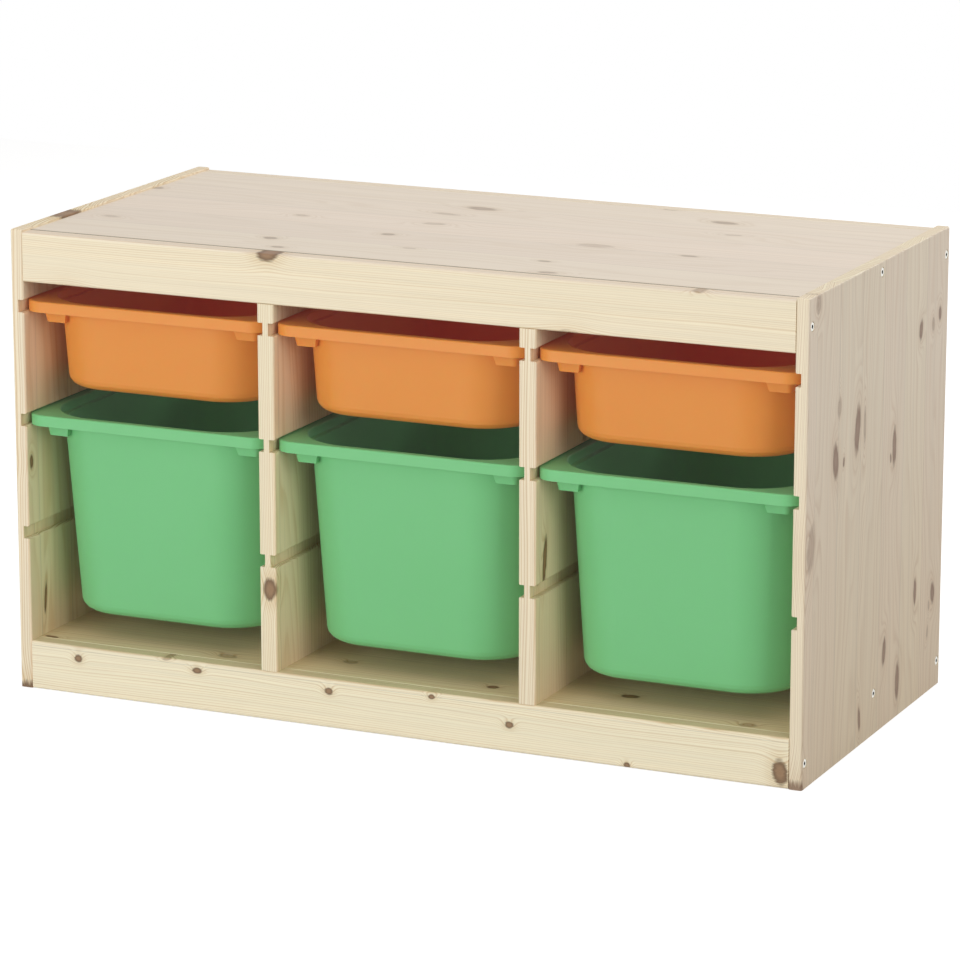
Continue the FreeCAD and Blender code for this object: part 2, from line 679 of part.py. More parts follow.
def moulded_bin(label, height):
    """A bin of a height: rim with a down-turned lip, recess with a ledge, lugs, drafted body."""
    body = new_body(label)
    rim_plan = (RIM_HALF_WIDTH, RIM_HALF_DEPTH, "rim_corner_radius")
    rim = new_sketch(body, "rim_outline", "XY_Plane", LIP_HEIGHT)
    rounded_rectangle(rim, *rim_plan)
    pad(body, "rim", rim, "rim_thickness", down=True)
    lip = new_sketch(body, "lip_outline", "XY_Plane", RIM_UNDERSIDE)
    rounded_rectangle(lip, *rim_plan)
    rounded_rectangle(lip, *[f"({size} - wall)" for size in rim_plan])
    pad(body, "lip", lip, RIM_UNDERSIDE, down=True)
    lug_sketch = new_sketch(body, "lug_outline", "XY_Plane", RIM_UNDERSIDE)
    lug_outline(lug_sketch, "0")
    lug = pad(body, "lug", lug_sketch, LUG_HEIGHT, down=True)
    bind(lug, TaperAngle="-1 * lug_draft")
    doc.recompute()
    core_sketch = new_sketch(body, "lug_core_outline", "XY_Plane", "-1 * lug_drop")
    lug_outline(core_sketch, f"(wall + {LUG_HEIGHT} * tan(lug_draft))")
    core = pocket(body, "lug_core", core_sketch, LUG_HEIGHT, towards_normal=True)
    mirrored_twice(body, "lugs", [lug, core])
    collar = new_sketch(body, "collar_outline", "XY_Plane", RIM_UNDERSIDE)
    rounded_rectangle(collar, COLLAR_HALF_WIDTH, COLLAR_HALF_DEPTH, "opening_radius + wall")
    pad(body, "collar", collar, f"{RIM_UNDERSIDE} - {COLLAR_UNDERSIDE}", down=True)

    cavity_plan = (INNER_HALF_WIDTH, INNER_HALF_DEPTH, INNER_RADIUS)
    shell_plan = [f"({size} + wall)" for size in cavity_plan]
    underside = f"({LIP_HEIGHT} - {height})"
    lug_end = "(-1 * lug_drop)"
    tapered_block(
        body,
        "AdditiveLoft",
        "shell",
        shell_plan,
        COLLAR_UNDERSIDE,
        underside,
        "bottom_radius",
        seams=[lug_end],
    )
    recess = new_sketch(body, "opening_outline", "XY_Plane", LIP_HEIGHT)
    rounded_rectangle(recess, OPENING_HALF_WIDTH, OPENING_HALF_DEPTH, "opening_radius")
    pocket(body, "recess", recess, "recess_depth")
    tapered_block(
        body,
        "SubtractiveLoft",
        "cavity",
        cavity_plan,
        LEDGE_HEIGHT,
        f"({underside} + floor_thickness)",
        "(bottom_radius - wall)",
    )
    rim_top = value(LIP_HEIGHT)
    chamfer(body, "rim_arrises", "rim_arris", lambda edge: near(edge.BoundBox.ZMin, rim_top))
    return body


BINS = {
    "small_bin": ("small_bin_height", 2),
    "medium_bin": ("medium_bin_height", 1),
}
for kind, (height, level) in BINS.items():
    for column, place in COLUMNS.items():
        piece = moulded_bin(f"{kind}_{column}", height)
        bind(
            piece,
            **{
                "Placement.Base.x": f"{place} * {COLUMN_STEP}",
                "Placement.Base.y": f"-1 * frame_depth / 2 + bin_setback + {RIM_HALF_DEPTH}",
                "Placement.Base.z": f"lowest_groove + {level} * groove_pitch + rim_rest_gap",
            },
        )

# ---------------------------------------------------------------------------
# Check and write
# ---------------------------------------------------------------------------
doc.recompute()
failed = [item.Name for item in doc.Objects if {"Invalid", "Error"} & set(item.State)]
if failed:
    raise RuntimeError(f"failed objects: {failed}")

pieces = [item for item in doc.Objects if item.TypeId in ("PartDesign::Body", "Part::Feature")]
for piece in pieces:
    if piece.Shape.isNull() or not piece.Shape.isValid():
        raise RuntimeError(f"bad shape: {piece.Label}")

os.makedirs(OUT, exist_ok=True)
for piece in pieces:
    piece.Shape.exportStep(f"{OUT}/{piece.Label}.step")
    print(f"{piece.Label}: {len(piece.Shape.Solids)} solid(s), {piece.Shape.Volume / 1000:.1f} cm3")
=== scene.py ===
# %% [markdown]
# # A pine toy frame with hanging bins
#
# The real thing is a low frame of untreated pine with three columns. Shallow orange bins and deep
# green bins hang in grooves cut into its walls. The measured solids come in as a fixed frame, and
# this lesson gives them their looks: sawn and sanded pine, moulded plastic, zinc-plated screws,
# soft studio light and a camera. All lengths are in metres.

# %% Load the measured solids
import bpy
import math
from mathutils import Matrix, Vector


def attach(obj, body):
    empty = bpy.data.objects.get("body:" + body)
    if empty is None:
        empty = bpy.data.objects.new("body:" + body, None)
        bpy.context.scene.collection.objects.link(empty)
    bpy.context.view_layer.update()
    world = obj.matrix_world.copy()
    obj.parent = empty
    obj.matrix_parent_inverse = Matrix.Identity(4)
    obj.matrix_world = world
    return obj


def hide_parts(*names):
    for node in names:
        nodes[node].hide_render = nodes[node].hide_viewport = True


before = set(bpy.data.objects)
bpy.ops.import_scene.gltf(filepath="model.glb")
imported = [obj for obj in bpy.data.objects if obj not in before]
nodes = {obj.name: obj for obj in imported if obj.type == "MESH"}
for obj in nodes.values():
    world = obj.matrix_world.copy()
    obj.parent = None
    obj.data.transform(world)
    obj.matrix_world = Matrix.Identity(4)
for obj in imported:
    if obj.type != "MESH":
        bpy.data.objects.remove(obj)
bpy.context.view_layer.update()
scene = bpy.context.scene
print("loaded", len(nodes), "nodes")

# %% [markdown]
# ## Camera
#
# The photograph looks down a little on the frame from the front right, through a long lens, so
# that the far edges are hardly shorter than the near ones. A camera could be placed by eye, but
# its place here was fitted to the seven corners of the frame that the picture shows, with the
# frame's size taken as given. The corners then lie about six pixels off on the whole, because the
# camera isn't shifted. A camera looks along its own -Z axis: tilting it a quarter turn makes it
# look level, and the pitch comes on top.

# %% Camera at the photograph's viewing angle
CAMERA_PLACE = (1.9994, -4.4067, 1.4256)
CAMERA_YAW = 0.4261
CAMERA_PITCH = -0.2411
FOCAL_LENGTH = 168.5  # in millimetres, as is the sensor
SENSOR_WIDTH = 36

lens = bpy.data.cameras.new("studio_camera")
lens.lens = FOCAL_LENGTH
lens.sensor_width = SENSOR_WIDTH
camera = bpy.data.objects.new("studio_camera", lens)
camera.location = CAMERA_PLACE
camera.rotation_euler = (math.pi / 2 + CAMERA_PITCH, 0, CAMERA_YAW)
scene.collection.objects.link(camera)
scene.camera = camera
scene.view_settings.view_transform = "Standard"
print("camera", [round(v, 2) for v in camera.location])

# %% [markdown]
# ## A helper for materials
#
# A material is a small graph of nodes. Writing each one out in full takes many lines, so one
# helper adds a node, sets what it is given, and joins what comes from another node. The same
# helper builds the Geometry Nodes tree further down. Colours are read from a picture as numbers
# from 0 to 255, which are bent for the eye, and a shader wants them straight, so they are converted.

# %% One line for each node
def add(tree, kind, inputs=None, **settings):
    """Adds a node, sets its properties, then fills its sockets with values or joins them."""
    node = tree.nodes.new(kind)
    for name, setting in settings.items():
        setattr(node, name, setting)
    for key, source in (inputs or {}).items():
        if isinstance(source, bpy.types.NodeSocket):
            tree.links.new(source, node.inputs[key])
        else:
            node.inputs[key].default_value = source
    return node


def maths(tree, operation, *values, clamp=False):
    """The result of one arithmetic node."""
    node = add(tree, "ShaderNodeMath", dict(enumerate(values)), operation=operation)
    node.use_clamp = clamp
    return node.outputs[0]


def new_material(name):
    """A material with only its output node."""
    material = bpy.data.materials.new(name)
    material.use_nodes = True
    material.node_tree.nodes.clear()
    return material


def dress(name, material):
    """Gives a measured solid one material, in place of the plain one that it came with."""
    slots = nodes[name].data.materials
    slots.clear()
    slots.append(material)


def srgb(red, green, blue):
    """A colour read from a picture, 0 to 255, as the linear values that a shader takes."""
    def linear(part):
        part /= 255
        return part / 12.92 if part <= 0.04045 else ((part + 0.055) / 1.055) ** 2.4
    return (linear(red), linear(green), linear(blue), 1)


print("mid grey is", round(srgb(128, 128, 128)[0], 3), "to a shader")

# %% [markdown]
# ## Light and floor
#
# The photograph looks like a white studio: light comes from all round, with more of it from the
# front left. A sky of one even value makes the soft part. Square lamps in front, above, on the
# right and behind make the rest, so that every side has some shape to it. The background is white
# to the camera alone, through Light Path, and adds no light to the object.

# %% White for the camera, soft light for the object
SKY_STRENGTH = 0.34
SKY_COLOUR = (1, 0.985, 0.97, 1)
WHITE = (1, 1, 1, 1)


def seen_directly(tree):
    """1 where the camera sees something itself, in a reflection or through glass, 0 for its light."""
    path = add(tree, "ShaderNodeLightPath").outputs
    mirrored = maths(tree, "MAXIMUM", path["Is Glossy Ray"], path["Is Transmission Ray"])
    return maths(tree, "MAXIMUM", path["Is Camera Ray"], mirrored)


world = bpy.data.worlds.new("studio")
scene.world = world
world.use_nodes = True
tree = world.node_tree
tree.nodes.clear()
seen = seen_directly(tree)
soft = add(tree, "ShaderNodeBackground", {"Color": SKY_COLOUR, "Strength": SKY_STRENGTH})
white = add(tree, "ShaderNodeBackground", {"Color": WHITE, "Strength": 1})
mixed = add(tree, "ShaderNodeMixShader", {0: seen, 1: soft.outputs[0], 2: white.outputs[0]})
add(tree, "ShaderNodeOutputWorld", {"Surface": mixed.outputs[0]})
print("sky strength", SKY_STRENGTH)


# %% Lamps: name, place, the point it faces, size in metres, power in watts
def softbox(name, place, target, size, power, tint=(1, 1, 1)):
    """A square lamp that faces its target."""
    lamp = bpy.data.lights.new(name, "AREA")
    lamp.shape = "SQUARE"
    lamp.size = size
    lamp.energy = power
    lamp.color = tint
    lamp_object = bpy.data.objects.new(name, lamp)
    lamp_object.location = place
    aim = Vector(target) - Vector(place)
    lamp_object.rotation_euler = aim.to_track_quat("-Z", "Y").to_euler()
    scene.collection.objects.link(lamp_object)


softbox("front_softbox", (-1.5, -4.0, 0.75), (0, 0, 0.2), 2.4, 97)
softbox("back_softbox", (1.4, 3.6, 1.3), (0, 0, 0.25), 2, 34)
softbox("top_softbox", (0.2, 0.2, 3.4), (0, 0, 0.4), 2.6, 39)
softbox("side_softbox", (3.0, -1.7, 1.9), (0.3, 0, 0.5), 2, 27, (1, 0.96, 0.92))

# %% [markdown]
# ## Floor
#
# The floor is plain and pale. It shows white to the camera and still darkens where the frame
# keeps the light off it, because a steady glow is only added to what the lamps make of it.

# %% Floor
FLOOR_HALF = 3
FLOOR_DROP = 0.0005  # a hair under the frame, so that the two don't share a plane
PAPER_GREY = 0.58
PAPER_GLOW = 0.71

floor_mesh = bpy.data.meshes.new("studio_floor")
corners = [(-1, -1), (1, -1), (1, 1), (-1, 1)]
floor_points = [(x * FLOOR_HALF, y * FLOOR_HALF, -FLOOR_DROP) for x, y in corners]
floor_mesh.from_pydata(floor_points, [], [(0, 1, 2, 3)])
floor = bpy.data.objects.new("studio_floor", floor_mesh)
scene.collection.objects.link(floor)

paper = new_material("studio_paper")
tree = paper.node_tree
matt = add(tree, "ShaderNodeBsdfDiffuse", {"Color": (PAPER_GREY, PAPER_GREY, PAPER_GREY, 1)})
glow_level = maths(tree, "MULTIPLY", seen_directly(tree), PAPER_GLOW)
glow = add(tree, "ShaderNodeEmission", {"Color": WHITE, "Strength": glow_level})
both = add(tree, "ShaderNodeAddShader", {0: matt.outputs[0], 1: glow.outputs[0]})
add(tree, "ShaderNodeOutputMaterial", {"Surface": both.outputs[0]})
floor_mesh.materials.append(paper)
print("floor is", 2 * FLOOR_HALF, "m wide")

# %% [markdown]
# ## Pine
#
# Each board is glued up from staves, strips sawn from different logs. A picture of wood would
# stretch on the edges, so the wood here is solid: every point works out how far it is from the
# heart of its log, and that distance, counted in growth rings, gives the pale spring wood and the
# darker autumn wood. Faces, edges and end grain then agree with one another, as in a real board.
# In this group X runs along the grain, Y across the staves and Z through the board.

# %% The inputs and outputs of the pine group
def socket(tree, name, kind, value=None, out=False):
    """A named input or output of a node group."""
    made = tree.interface.new_socket(name=name, in_out="OUTPUT" if out else "INPUT", socket_type=kind)
    if value is not None:
        made.default_value = value
    return made


FAR_FROM_KNOTS = 9  # in knot radii
PINE_NUMBERS = {
    "Knot": FAR_FROM_KNOTS,
    "Faint Knot": FAR_FROM_KNOTS,
    "Stave Width": 0.07,
    "Stave Start": 0,
    "Ring Width": 0.0024,
    "Log": 0,
    "Figure": 1,
    "Painted Light Share": 0,
    "Joint": 0,
}
PINE_TONES = ("Spring Wood", "Autumn Wood", "Knot Heart", "Knot Rim", "Painted Face Light", "Painted Joint Light")

pine = bpy.data.node_groups.new("pine", "ShaderNodeTree")
socket(pine, "Place", "NodeSocketVector")
socket(pine, "Facing", "NodeSocketVector")
for input_name, preset in PINE_NUMBERS.items():
    socket(pine, input_name, "NodeSocketFloat", preset)
for tone_name in PINE_TONES:
    socket(pine, tone_name, "NodeSocketColor", WHITE)
socket(pine, "Color", "NodeSocketColor", out=True)
socket(pine, "Roughness", "NodeSocketFloat", out=True)
socket(pine, "Height", "NodeSocketFloat", out=True)
given = add(pine, "NodeGroupInput").outputs
result = add(pine, "NodeGroupOutput")
print("pine has", len(pine.interface.items_tree), "inputs and outputs")

# %% [markdown]
# Every stave draws its own three numbers from its place in the row: how far to the side its log's
# heart was, how deep, and how much the grain runs out of the board. White noise fed with whole
# numbers gives the same draw every time, so nothing here changes from one run to the next.

# %% The staves and the heart of each log
def along_grain(source, length, width):
    """Coordinates for streaks of about this length and width, in metres."""
    scale = (1 / length, 1 / width, 1 / width)
    return add(pine, "ShaderNodeVectorMath", {0: source, 1: scale}, operation="MULTIPLY").outputs[0]


def streaks(length, width, detail):
    """Noise drawn out along the grain."""
    place = along_grain(given["Place"], length, width)
    return add(pine, "ShaderNodeTexNoise", {"Vector": place, "Scale": 1, "Detail": detail}).outputs[0]


def around(value, middle, amount):
    """How far a value is from its middle, times an amount."""
    return maths(pine, "MULTIPLY", maths(pine, "SUBTRACT", value, middle), amount)


spot = add(pine, "ShaderNodeSeparateXYZ", {0: given["Place"]}).outputs
along, across, through = spot[0], spot[1], spot[2]
from_start = maths(pine, "SUBTRACT", across, given["Stave Start"])
counted = maths(pine, "DIVIDE", from_start, given["Stave Width"])
stave = maths(pine, "FLOOR", counted)
in_stave = maths(pine, "FRACT", counted)
ticket = add(pine, "ShaderNodeCombineXYZ", {0: stave, 1: given["Log"]}).outputs[0]
noise = add(pine, "ShaderNodeTexWhiteNoise", {"Vector": ticket}, noise_dimensions="3D")
draw = add(pine, "ShaderNodeSeparateXYZ", {0: noise.outputs["Color"]}).outputs
heart_side, heart_depth, run_out = draw[0], draw[1], draw[2]
print("each stave draws", len(draw), "numbers")

# %% [markdown]
# No trunk is quite round or straight, so a slow noise, long along the grain, pushes the distance
# from the heart in and out. Growth rings also swell round a knot. The heart itself is kept outside
# the stave, because a sawmill cuts it away, and so the rings run as arcs and flames.

# %% Distance from the heart, bent by the log's waviness and by the knots
WAVINESS = 0.016  # how far the rings wander, in metres
KNOT_REACH = 3.6  # how far a knot bends the rings, in knot radii
KNOT_SWELL = 0.011
HEART_DEPTH = 0.04  # the least depth of the heart, and how much it differs
LEAN = 0.03  # how steeply the grain may run out of a board

slow = along_grain(given["Place"], 0.42, 0.07)
shifted = add(pine, "ShaderNodeVectorMath", {0: slow, 1: ticket}, operation="ADD").outputs[0]
wave = add(pine, "ShaderNodeTexNoise", {"Vector": shifted, "Scale": 1, "Detail": 2}).outputs[0]
near_knot = maths(pine, "MINIMUM", given["Knot"], given["Faint Knot"])
bent = maths(pine, "SUBTRACT", 1, maths(pine, "DIVIDE", near_knot, KNOT_REACH), clamp=True)
bent = maths(pine, "POWER", bent, 2)
swell = maths(pine, "MULTIPLY", bent, KNOT_SWELL)
side_of_heart = maths(pine, "SIGN", maths(pine, "SUBTRACT", heart_side, 0.5))
far_from_middle = maths(pine, "ADD", 0.75, maths(pine, "ABSOLUTE", around(heart_side, 0.5, 1.4)))
heart_offset = maths(pine, "ADD", 0.5, maths(pine, "MULTIPLY", side_of_heart, far_from_middle))
off_heart = maths(pine, "SUBTRACT", in_stave, heart_offset)
sideways = maths(pine, "MULTIPLY", off_heart, given["Stave Width"])
depth = maths(pine, "ADD", maths(pine, "MULTIPLY", heart_depth, HEART_DEPTH), HEART_DEPTH)
depth = maths(pine, "ADD", depth, maths(pine, "MULTIPLY", along, around(run_out, 0.5, LEAN)))
down = maths(pine, "ADD", through, depth)
squares = maths(pine, "ADD", maths(pine, "POWER", sideways, 2), maths(pine, "POWER", down, 2))
radius = maths(pine, "SQRT", squares)
radius = maths(pine, "ADD", radius, maths(pine, "ADD", around(wave, 0.5, WAVINESS), swell))
print("distance from the heart takes", len(pine.nodes), "nodes")

# %% [markdown]
# A tree grows fast and pale in spring, slower and darker towards autumn, and stops in winter. Going
# outwards, each ring therefore darkens slowly and then steps back to pale at once. A colour ramp on
# the fraction of the ring count has that shape, and a little noise makes some years wider.

# %% Growth rings: a slow change to the dark autumn wood, then a sharp step back
rings = maths(pine, "DIVIDE", radius, given["Ring Width"])
years = maths(pine, "MULTIPLY", rings, 0.3)
uneven = add(pine, "ShaderNodeTexNoise", {"W": years, "Scale": 1, "Detail": 1},
             noise_dimensions="1D").outputs[0]
rings = maths(pine, "ADD", rings, maths(pine, "MULTIPLY", uneven, 2.2))
ramp = add(pine, "ShaderNodeValToRGB", {0: maths(pine, "FRACT", rings)})
stops = ramp.color_ramp.elements
stops[0].position, stops[0].color = 0.0, (0.3, 0.3, 0.3, 1)
stops[1].position, stops[1].color = 1.0, (0.3, 0.3, 0.3, 1)
for position, level in ((0.12, 0.0), (0.5, 0.15), (0.82, 0.95), (0.92, 1.0)):
    stop = stops.new(position)
    stop.color = (level, level, level, 1)
autumn = ramp.outputs[0]
print("pine group has", len(pine.nodes), "nodes so far")

# %% [markdown]
# Over the rings lie the fibres: fine streaks along the grain. Some stretches of a stave show
# strong rings and others hardly any, each stave has its own tone, and end grain, where the cut
# fibres point at the eye, looks darker and shows its rings most of all.

# %% How strongly the rings show
fibre = streaks(0.06, 0.0011, 3)
streak = streaks(0.45, 0.0045, 3)
patch = streaks(0.55, 0.013, 2)
facing = add(pine, "ShaderNodeSeparateXYZ", {0: given["Facing"]}).outputs
end_grain = maths(pine, "POWER", facing[0], 2)
narrow_edge = maths(pine, "POWER", facing[1], 2)
show = add(pine, "ShaderNodeMapRange", {0: patch, 1: 0.3, 2: 0.7, 3: 0.12, 4: 0.5}).outputs[0]
show = maths(pine, "MULTIPLY", show, given["Figure"])
for part in (maths(pine, "MULTIPLY", end_grain, 0.7), maths(pine, "MULTIPLY", narrow_edge, 0.3),
             maths(pine, "MULTIPLY", bent, 0.5)):
    show = maths(pine, "ADD", show, part)
dark_share = maths(pine, "MULTIPLY", autumn, show)
wood = add(pine, "ShaderNodeMix", {0: dark_share, 6: given["Spring Wood"], 7: given["Autumn Wood"]},
           data_type="RGBA", clamp_factor=False).outputs[2]
print("rings show most on end grain")

# %% Streaks, the staves' own tones and the seams between them
SEAM_WIDTH = 0.0005

mottle = around(fibre, 0.5, 0.12)
for part in (around(streak, 0.5, 0.16), around(patch, 0.5, 0.12)):
    mottle = maths(pine, "ADD", mottle, part)
tone = maths(pine, "ADD", 0.99, maths(pine, "MULTIPLY", mottle, given["Figure"]))
tone = maths(pine, "ADD", tone, around(heart_depth, 0.5, 0.04))
edge = maths(pine, "MINIMUM", in_stave, maths(pine, "SUBTRACT", 1, in_stave))
seam = maths(pine, "LESS_THAN", maths(pine, "MULTIPLY", edge, given["Stave Width"]), SEAM_WIDTH)
tone = maths(pine, "SUBTRACT", tone, maths(pine, "MULTIPLY", seam, 0.16))
pink = maths(pine, "SUBTRACT", tone, maths(pine, "ADD", 0.008, around(run_out, 0.5, 0.03)))
tones = add(pine, "ShaderNodeCombineXYZ", {0: tone, 1: pink, 2: tone}).outputs[0]
toned = add(pine, "ShaderNodeVectorMath", {0: wood, 1: tones}, operation="MULTIPLY").outputs[0]
print("pine group has", len(pine.nodes), "nodes before its knots")

# %% [markdown]
# A knot is a branch that the trunk grew round. It is brown, darker at its rim, with a warm halo,
# and its edge frays along the grain. The distance to the nearest knot, in knot radii, is worked
# out for each board and comes into the group as a number. Faint knots lie just under the face.

# %% Knots inside the wood
fray = streaks(0.012, 0.0022, 3)
frayed = around(fray, 0.5, 0.6)


def lay_knots(under, distance, strength):
    """The wood's colour with the knots of one kind laid over it."""
    distance = maths(pine, "ADD", distance, frayed)

    def fade(start, end, most):
        span = {0: distance, 1: start, 2: end, 3: 0, 4: most}
        return add(pine, "ShaderNodeMapRange", span).outputs[0]

    def blend(share, one, other):
        return add(pine, "ShaderNodeMix", {0: share, 6: one, 7: other}, data_type="RGBA").outputs[2]

    warm = blend(fade(2.2, 0.9, 0.3 * strength), under, given["Autumn Wood"])
    branch = blend(fade(0.4, 0.95, 1), given["Knot Heart"], given["Knot Rim"])
    return blend(fade(1.15, 0.8, strength), warm, branch)


FAINT, CLEAR = 0.45, 0.95
coloured = lay_knots(toned, given["Faint Knot"], FAINT)
coloured = lay_knots(coloured, given["Knot"], CLEAR)
print("knots laid over the wood")

# %% [markdown]
# What is left is painted light and the touch of the wood. A tint of painted light goes on the faces
# that look one way, and a line of painted light along a joint: painted shadow in the gap on top,
# painted highlight on the arris below. Fibres stand up a little, and the hard autumn rings stay when
# the planer presses the soft wood down, so both go into the height that the bump uses.

# %% Painted light on faces and joints, roughness and height
with_painted_light = add(pine, "ShaderNodeMix", {0: given["Painted Light Share"], 6: coloured, 7: given["Painted Face Light"]},
             data_type="RGBA", blend_type="MULTIPLY").outputs[2]
joined = add(pine, "ShaderNodeMix", {0: given["Joint"], 6: with_painted_light, 7: given["Painted Joint Light"]},
             data_type="RGBA").outputs[2]
roughness = maths(pine, "ADD", 0.5, maths(pine, "MULTIPLY", fibre, 0.18))
raised = maths(pine, "MULTIPLY", fibre, 0.7)
relief = maths(pine, "SUBTRACT", raised, maths(pine, "MULTIPLY", autumn, 0.25))
pine.links.new(joined, result.inputs["Color"])
pine.links.new(roughness, result.inputs["Roughness"])
pine.links.new(relief, result.inputs["Height"])
print("pine group finished with", len(pine.nodes), "nodes")

# %% [markdown]
# ## Boards
#
# Each board gets its own material from the group: which way its grain runs, how wide its staves
# are, its tones, and where its knots sit. A Mapping node turns the object's coordinates so that X
# runs along the grain. For each knot a second Mapping node moves the knot to the middle and
# divides by its radii, so that the length of the vector is the distance in knot radii.

# %% How far the nearest knot is
ALONG_X = (0, 0, 0)
UPRIGHT = (0, math.pi / 2, 0)  # grain along Z, staves across Y
RAIL = (math.pi / 2, 0, 0)  # grain along X, the board's width along Z
KNOT_AXES = {ALONG_X: (0, 1, 2), UPRIGHT: (2, 1, 0), RAIL: (0, 2, 1)}  # along, across, through


def nearest_knot(tree, coordinates, grain, knots):
    """Distance to the nearest of some knots, in knot radii."""
    nearest = None
    first, second, third = KNOT_AXES[grain]
    for number, (u, v, half_length, half_width, *through) in enumerate(knots):
        centre, radii, lean = [0, 0, 0], [1, 1, 1], [0, 0, 0]
        centre[first], centre[second] = u / 1000, v / 1000
        radii[first], radii[second] = half_length / 1000, half_width / 1000
        if through:
            centre[third], radii[third] = through[0] / 1000, through[1] / 1000
        lean[third] = 0.12 * (number % 3 - 1)
        knot_space = {"Vector": coordinates, "Location": centre, "Rotation": lean, "Scale": radii}
        moved = add(tree, "ShaderNodeMapping", knot_space, vector_type="TEXTURE").outputs[0]
        length = add(tree, "ShaderNodeVectorMath", {0: moved}, operation="LENGTH").outputs["Value"]
        nearest = length if nearest is None else maths(tree, "MINIMUM", nearest, length)
    return nearest


print("grain directions:", len(KNOT_AXES))


# %% Painted light for the faces that look one way
def painted_face_light(tree, object_place, normal, colour, direction, other=None, start=0, end=1):
    """The colour of a tint of painted light, and how much of it a face gets.

    With another colour, the tint goes from that one at the first height to its own at the second.
    """
    looking = add(tree, "ShaderNodeVectorMath", {0: normal, 1: direction}, operation="DOT_PRODUCT")
    share = maths(tree, "MAXIMUM", looking.outputs["Value"], 0)
    if other is None:
        return colour, share
    z = add(tree, "ShaderNodeSeparateXYZ", {0: object_place}).outputs[2]
    up = add(tree, "ShaderNodeMapRange", {0: z, 1: start, 2: end, 3: 0, 4: 1}).outputs[0]
    blend = add(tree, "ShaderNodeMix", {0: up, 6: other, 7: colour}, data_type="RGBA")
    return blend.outputs[2], share


print("a tint can change with height")

# %% One material for one board
RAIL_BACK = -0.202  # where the panels meet the front rails
WOOD_BUMP = 0.0003
SHEEN = 0.35  # of raw wood and of satin plastic


def board(name, log, grain, tones, staves, knots=(), faint=(), ring=0.0022, figure=0.5,
          tint=None, joint=None):
    """A pine material, given to the board of that name.

    Staves are their width and the edge of the first. Knots are (along, across, half length, half
    width) in millimetres. A knot goes right through its board, unless its depth and half depth
    follow as well.
    """
    material = new_material("pine_" + name)
    tree = material.node_tree
    texture = add(tree, "ShaderNodeTexCoord").outputs
    object_place, normal = texture["Object"], texture["Normal"]

    def along_the_board(vector):
        turned = {"Vector": vector, "Rotation": grain}
        return add(tree, "ShaderNodeMapping", turned, vector_type="POINT").outputs[0]

    facts = {"Place": along_the_board(object_place), "Facing": along_the_board(normal),
             "Stave Width": staves[0], "Stave Start": staves[1], "Ring Width": ring,
             "Log": log, "Figure": figure}
    facts.update(zip(PINE_TONES, tones))
    for kind, places in (("Knot", knots), ("Faint Knot", faint)):
        if places:
            facts[kind] = nearest_knot(tree, object_place, grain, places)
    if tint:
        facts["Painted Face Light"], facts["Painted Light Share"] = painted_face_light(tree, object_place, normal, *tint)
    if joint:
        facts["Painted Joint Light"], width = joint
        y = add(tree, "ShaderNodeSeparateXYZ", {0: object_place}).outputs[1]
        facts["Joint"] = maths(tree, "LESS_THAN", y, RAIL_BACK + width)
    wood = add(tree, "ShaderNodeGroup", node_tree=pine)
    for key, source in facts.items():
        if isinstance(source, bpy.types.NodeSocket):
            tree.links.new(source, wood.inputs[key])
        else:
            wood.inputs[key].default_value = source
    bump = add(tree, "ShaderNodeBump",
               {"Height": wood.outputs["Height"], "Strength": 0.35, "Distance": WOOD_BUMP})
    surface = add(tree, "ShaderNodeBsdfPrincipled", {
        "Base Color": wood.outputs["Color"],
        "Roughness": wood.outputs["Roughness"],
        "Normal": bump.outputs[0],
        "Specular IOR Level": SHEEN,
    })
    add(tree, "ShaderNodeOutputMaterial", {"Surface": surface.outputs[0]})
    dress(name, material)


print("bump is", round(1000 * WOOD_BUMP, 2), "mm at most")

# %% [markdown]
# The pine is creamy, with brown knots. Its faces also get tints of painted light: a faint grey painted
# sheen on the faces that look up, painted shade on the tops of the bottom panel and the bottom front
# rail, a lift of painted light on the faces inside that look right, and on the right panel's outer
# face a painted sheen that turns darker and pinker towards the floor, as painted shade. A tint can
# change with height: it is one colour at one height and another at a second. The tints were matched to
# the photograph, so they hold some of its light as well as the wood's own colour.
# Where a knot can be seen in the photograph, it is at about the same place here. Sides that the
# photograph doesn't show get a few made-up ones. Where a panel meets a rail there is a fine line: a
# painted shadow in the gap on top, and a painted highlight below, on the front arris where the panel
# stands proud.

# %% Tones, tints and staves
CREAMY = (srgb(243, 232, 204), srgb(208, 178, 130), srgb(148, 116, 86), srgb(98, 74, 52))
# painted light: a paler spring wood that brightens the bottom front rail
PALE_PAINTED_LIGHT = (srgb(250, 241, 213), *CREAMY[1:])
# Greyer, lower-contrast tones for the top and right panels: the wood's own colour with a painted sheen
# washed over it.
TOP_TONES_UNDER_SHEEN = (srgb(240, 230, 203), srgb(216, 199, 166), srgb(194, 178, 154), srgb(178, 161, 138))
SIDE_TONES_UNDER_SHEEN = (srgb(243, 232, 204), srgb(210, 186, 154), srgb(164, 140, 118), srgb(134, 108, 88))
UP, RIGHT = (0, 0, 1), (1, 0, 0)
# painted sheen: a faint grey-blue cast multiplied into the faces that look up
PAINTED_SHEEN = ((0.936, 0.915, 1, 1), UP)
# painted shade, darker and warmer, for the bottom panel's top under the bins
SHADE_UNDER_BINS = ((0.98, 0.84, 0.73, 1), UP)
SHADED = ((0.86, 0.76, 0.67, 1), UP)
# painted light: it lightens and warms the right-facing faces inside, most in their lower part
PAINTED_INNER_LIGHT = ((1.1, 0.965, 0.9, 1), RIGHT, (1.02, 0.97, 0.94, 1), 0.42, 0.3)
# on the right panel's outer face: a painted sheen high up, turning to painted shade towards the floor
PAINTED_OUTER_LIGHT = ((0.955, 0.93, 0.99, 1), RIGHT, (0.86, 0.8, 0.78, 1), 0, 0.4)

